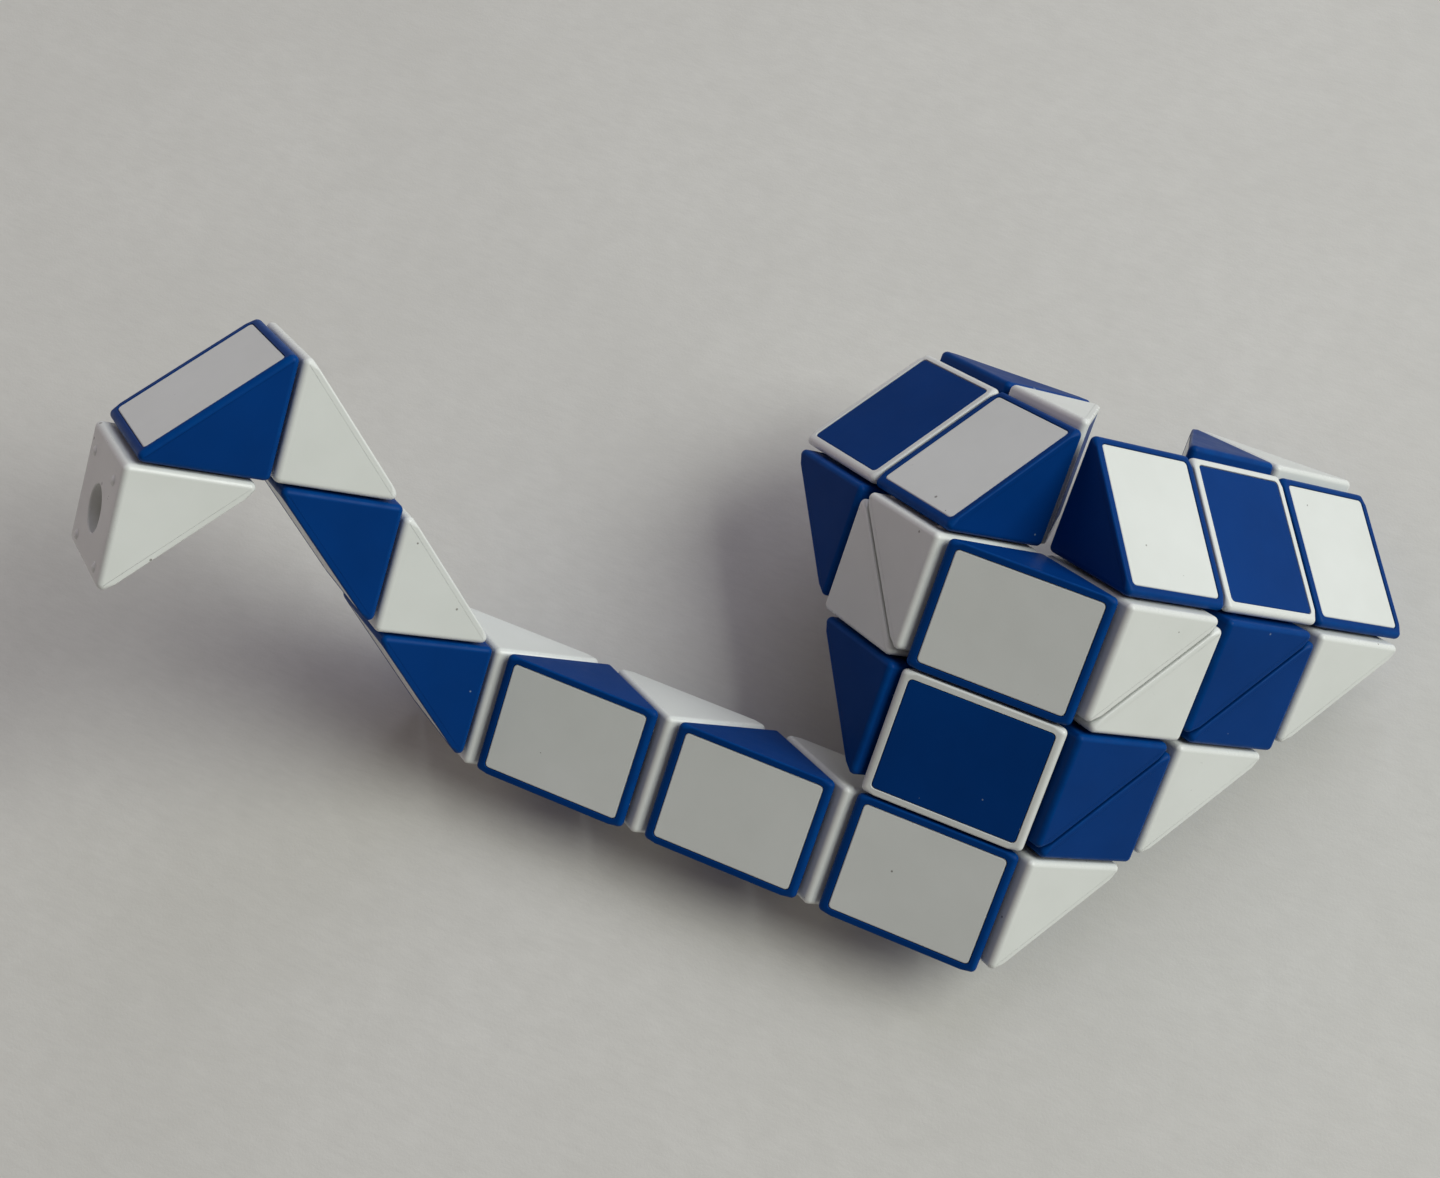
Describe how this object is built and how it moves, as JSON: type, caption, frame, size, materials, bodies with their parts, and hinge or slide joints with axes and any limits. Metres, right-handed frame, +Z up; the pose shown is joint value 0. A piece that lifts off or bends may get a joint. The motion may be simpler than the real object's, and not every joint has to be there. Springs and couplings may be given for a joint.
{
  "type": "twisting snake puzzle",
  "caption": "Jointed twisting puzzle: a chain of half-cube wedges in two colours, each turning on the next, folded into a knot with a raised head.",
  "frame": {"origin": "on the table under the middle of the folded figure's box", "axes": "+Z up as the figure stands on its corners; +X along the straight staircase of wedges, from the head towards the knot"},
  "size_m": [0.1632, 0.093, 0.0612],
  "materials": {
    "white_plastic": "satin",
    "blue_plastic": "satin"
  },
  "bodies": {
    "wedge_01": {"wedge_01": "white_plastic", "lid_01": "blue_plastic"},
    "wedge_02": {"wedge_02": "blue_plastic", "lid_02": "white_plastic"},
    "wedge_03": {"wedge_03": "white_plastic", "lid_03": "blue_plastic"},
    "wedge_04": {"wedge_04": "blue_plastic", "lid_04": "white_plastic"},
    "wedge_05": {"wedge_05": "white_plastic", "lid_05": "blue_plastic"},
    "wedge_06": {"wedge_06": "blue_plastic", "lid_06": "white_plastic"},
    "wedge_07": {"wedge_07": "white_plastic", "lid_07": "blue_plastic"},
    "wedge_08": {"wedge_08": "blue_plastic", "lid_08": "white_plastic"},
    "wedge_09": {"wedge_09": "white_plastic", "lid_09": "blue_plastic"},
    "wedge_10": {"wedge_10": "blue_plastic", "lid_10": "white_plastic"},
    "wedge_11": {"wedge_11": "white_plastic", "lid_11": "blue_plastic"},
    "wedge_12": {"wedge_12": "blue_plastic", "lid_12": "white_plastic"},
    "wedge_13": {"wedge_13": "white_plastic", "lid_13": "blue_plastic"},
    "wedge_14": {"wedge_14": "blue_plastic"},
    "wedge_15": {"wedge_15": "white_plastic", "lid_15": "blue_plastic"},
    "wedge_16": {"wedge_16": "blue_plastic"},
    "wedge_17": {"wedge_17": "white_plastic", "lid_17": "blue_plastic"},
    "wedge_18": {"wedge_18": "blue_plastic", "lid_18": "white_plastic"},
    "wedge_19": {"wedge_19": "white_plastic", "lid_19": "blue_plastic"},
    "wedge_20": {"wedge_20": "blue_plastic"},
    "wedge_21": {"wedge_21": "white_plastic", "lid_21": "blue_plastic"},
    "wedge_22": {"wedge_22": "blue_plastic"},
    "wedge_23": {"wedge_23": "white_plastic"},
    "wedge_24": {"wedge_24": "blue_plastic"},
    "wedge_25": {"wedge_25": "white_plastic", "lid_25": "blue_plastic"},
    "wedge_26": {"wedge_26": "blue_plastic"},
    "wedge_27": {"wedge_27": "white_plastic"},
    "wedge_28": {"wedge_28": "blue_plastic"},
    "wedge_29": {"wedge_29": "white_plastic", "lid_29": "blue_plastic"},
    "wedge_30": {"wedge_30": "blue_plastic", "lid_30": "white_plastic"},
    "wedge_31": {"wedge_31": "white_plastic"},
    "wedge_32": {"wedge_32": "blue_plastic", "lid_32": "white_plastic"},
    "wedge_33": {"wedge_33": "white_plastic"},
    "wedge_34": {"wedge_34": "blue_plastic", "lid_34": "white_plastic"},
    "wedge_35": {"wedge_35": "white_plastic"},
    "wedge_36": {"wedge_36": "blue_plastic", "lid_36": "white_plastic"}
  },
  "joints": [
    {"name": "twist_01_02", "type": "hinge", "parent": "wedge_02", "child": "wedge_01", "pos_m": [-0.0695, -0.02642, 0.05137], "axis": [0, -0.8165, -0.5774], "range_deg": [-25, 25]},
    {"name": "twist_02_03", "type": "hinge", "parent": "wedge_03", "child": "wedge_02", "pos_m": [-0.06314, -0.01539, 0.05137], "axis": [-0.7071, -0.4082, 0.5774], "continuous": true},
    {"name": "twist_03_04", "type": "hinge", "parent": "wedge_04", "child": "wedge_03", "pos_m": [-0.05678, -0.01907, 0.04097], "axis": [0, 0.8165, 0.5774], "range_deg": [-25, 25]},
    {"name": "twist_04_05", "type": "hinge", "parent": "wedge_05", "child": "wedge_04", "pos_m": [-0.05041, -0.02274, 0.03058], "axis": [-0.7071, -0.4082, 0.5774], "range_deg": [-270, 90]},
    {"name": "twist_05_06", "type": "hinge", "parent": "wedge_06", "child": "wedge_05", "pos_m": [-0.04405, -0.02642, 0.02019], "axis": [0, 0.8165, 0.5774], "continuous": true},
    {"name": "twist_06_07", "type": "hinge", "parent": "wedge_07", "child": "wedge_06", "pos_m": [-0.03768, -0.03009, 0.0098], "axis": [-0.7071, -0.4082, 0.5774], "continuous": true},
    {"name": "twist_07_08", "type": "hinge", "parent": "wedge_08", "child": "wedge_07", "pos_m": [-0.02496, -0.03009, 0.0098], "axis": [-0.7071, 0.4082, -0.5774], "continuous": true},
    {"name": "twist_08_09", "type": "hinge", "parent": "wedge_09", "child": "wedge_08", "pos_m": [-0.01223, -0.03009, 0.0098], "axis": [-0.7071, -0.4082, 0.5774], "range_deg": [-270, 90]},
    {"name": "twist_09_10", "type": "hinge", "parent": "wedge_10", "child": "wedge_09", "pos_m": [0.0005, -0.03009, 0.0098], "axis": [-0.7071, 0.4082, -0.5774], "continuous": true},
    {"name": "twist_10_11", "type": "hinge", "parent": "wedge_11", "child": "wedge_10", "pos_m": [0.01323, -0.03009, 0.0098], "axis": [-0.7071, -0.4082, 0.5774], "range_deg": [-270, 90]},
    {"name": "twist_11_12", "type": "hinge", "parent": "wedge_12", "child": "wedge_11", "pos_m": [0.02596, -0.03009, 0.0098], "axis": [-0.7071, 0.4082, -0.5774], "range_deg": [-16, 12]},
    {"name": "twist_12_13", "type": "hinge", "parent": "wedge_13", "child": "wedge_12", "pos_m": [0.03868, -0.03009, 0.0098], "axis": [-0.7071, -0.4082, 0.5774], "range_deg": [-1.7, 2.2]},
    {"name": "twist_13_14", "type": "hinge", "parent": "wedge_14", "child": "wedge_13", "pos_m": [0.04505, -0.01907, 0.0098], "axis": [0, -0.8165, -0.5774], "continuous": true},
    {"name": "twist_14_15", "type": "hinge", "parent": "wedge_14", "child": "wedge_15", "pos_m": [0.05141, -0.00805, 0.0098], "axis": [0.7071, 0.4082, -0.5774], "range_deg": [-1.7, 2.2]},
    {"name": "twist_15_16", "type": "hinge", "parent": "wedge_15", "child": "wedge_16", "pos_m": [0.05778, 0.00298, 0.0098], "axis": [0, 0.8165, 0.5774], "range_deg": [-2.4, 2.4]},
    {"name": "twist_16_17", "type": "hinge", "parent": "wedge_16", "child": "wedge_17", "pos_m": [0.06414, 0.014, 0.0098], "axis": [0.7071, 0.4082, -0.5774], "range_deg": [-1.9, 2.4]},
    {"name": "twist_17_18", "type": "hinge", "parent": "wedge_17", "child": "wedge_18", "pos_m": [0.0705, 0.02502, 0.0098], "axis": [0, 0.8165, 0.5774], "range_deg": [-2.4, 2.4]},
    {"name": "twist_18_19", "type": "hinge", "parent": "wedge_18", "child": "wedge_19", "pos_m": [0.06414, 0.03605, 0.0098], "axis": [-0.7071, 0.4082, -0.5774], "range_deg": [-0.2, 2.2]},
    {"name": "twist_19_20", "type": "hinge", "parent": "wedge_19", "child": "wedge_20", "pos_m": [0.05141, 0.03605, 0.0098], "axis": [-0.7071, -0.4082, 0.5774], "range_deg": [-0.5, 270]},
    {"name": "twist_20_21", "type": "hinge", "parent": "wedge_20", "child": "wedge_21", "pos_m": [0.05141, 0.0287, 0.02019], "axis": [0.7071, -0.4082, 0.5774], "range_deg": [-2.2, 0.2]},
    {"name": "twist_21_22", "type": "hinge", "parent": "wedge_21", "child": "wedge_22", "pos_m": [0.05778, 0.01767, 0.02019], "axis": [0, -0.8165, -0.5774], "range_deg": [-2.2, 1.7]},
    {"name": "twist_22_23", "type": "hinge", "parent": "wedge_22", "child": "wedge_23", "pos_m": [0.05141, 0.00665, 0.02019], "axis": [-0.7071, -0.4082, 0.5774], "range_deg": [-2.4, 1.9]},
    {"name": "twist_23_24", "type": "hinge", "parent": "wedge_23", "child": "wedge_24", "pos_m": [0.04505, -0.00437, 0.02019], "axis": [0, -0.8165, -0.5774], "range_deg": [-2.2, 1.7]},
    {"name": "twist_24_25", "type": "hinge", "parent": "wedge_24", "child": "wedge_25", "pos_m": [0.03868, -0.01539, 0.02019], "axis": [-0.7071, -0.4082, 0.5774], "range_deg": [-2.2, 1.7]},
    {"name": "twist_25_26", "type": "hinge", "parent": "wedge_25", "child": "wedge_26", "pos_m": [0.02596, -0.01539, 0.02019], "axis": [-0.7071, 0.4082, -0.5774], "range_deg": [-2.2, 0.3]},
    {"name": "twist_26_27", "type": "hinge", "parent": "wedge_26", "child": "wedge_27", "pos_m": [0.01959, -0.00437, 0.02019], "axis": [0, 0.8165, 0.5774], "range_deg": [-270, 0.5]},
    {"name": "twist_27_28", "type": "hinge", "parent": "wedge_27", "child": "wedge_28", "pos_m": [0.01323, 0.00665, 0.02019], "axis": [-0.7071, 0.4082, -0.5774], "range_deg": [-2.2, 0.5]},
    {"name": "twist_28_29", "type": "hinge", "parent": "wedge_28", "child": "wedge_29", "pos_m": [0.00686, 0.01767, 0.02019], "axis": [0, 0.8165, 0.5774], "range_deg": [-2.4, 0.3]},
    {"name": "twist_29_30", "type": "hinge", "parent": "wedge_29", "child": "wedge_30", "pos_m": [0.01323, 0.0287, 0.02019], "axis": [0.7071, 0.4082, -0.5774], "range_deg": [-2.2, 0.3]},
    {"name": "twist_30_31", "type": "hinge", "parent": "wedge_30", "child": "wedge_31", "pos_m": [0.02596, 0.0287, 0.02019], "axis": [0.7071, -0.4082, 0.5774], "range_deg": [-2.2, 0.5]},
    {"name": "twist_31_32", "type": "hinge", "parent": "wedge_31", "child": "wedge_32", "pos_m": [0.02596, 0.02135, 0.03058], "axis": [-0.7071, -0.4082, 0.5774], "range_deg": [-0.5, 2.2]},
    {"name": "twist_32_33", "type": "hinge", "parent": "wedge_32", "child": "wedge_33", "pos_m": [0.01959, 0.01033, 0.03058], "axis": [0, -0.8165, -0.5774], "range_deg": [-0.5, 2.4]},
    {"name": "twist_33_34", "type": "hinge", "parent": "wedge_33", "child": "wedge_34", "pos_m": [0.02596, -0.0007, 0.03058], "axis": [0.7071, -0.4082, 0.5774], "range_deg": [-0.5, 2.2]},
    {"name": "twist_34_35", "type": "hinge", "parent": "wedge_34", "child": "wedge_35", "pos_m": [0.03868, -0.0007, 0.03058], "axis": [0.7071, 0.4082, -0.5774], "range_deg": [-2.4, 2.4]},
    {"name": "twist_35_36", "type": "hinge", "parent": "wedge_35", "child": "wedge_36", "pos_m": [0.04505, 0.01033, 0.03058], "axis": [0, 0.8165, 0.5774], "range_deg": [-1.7, 2.2]}
  ]
}
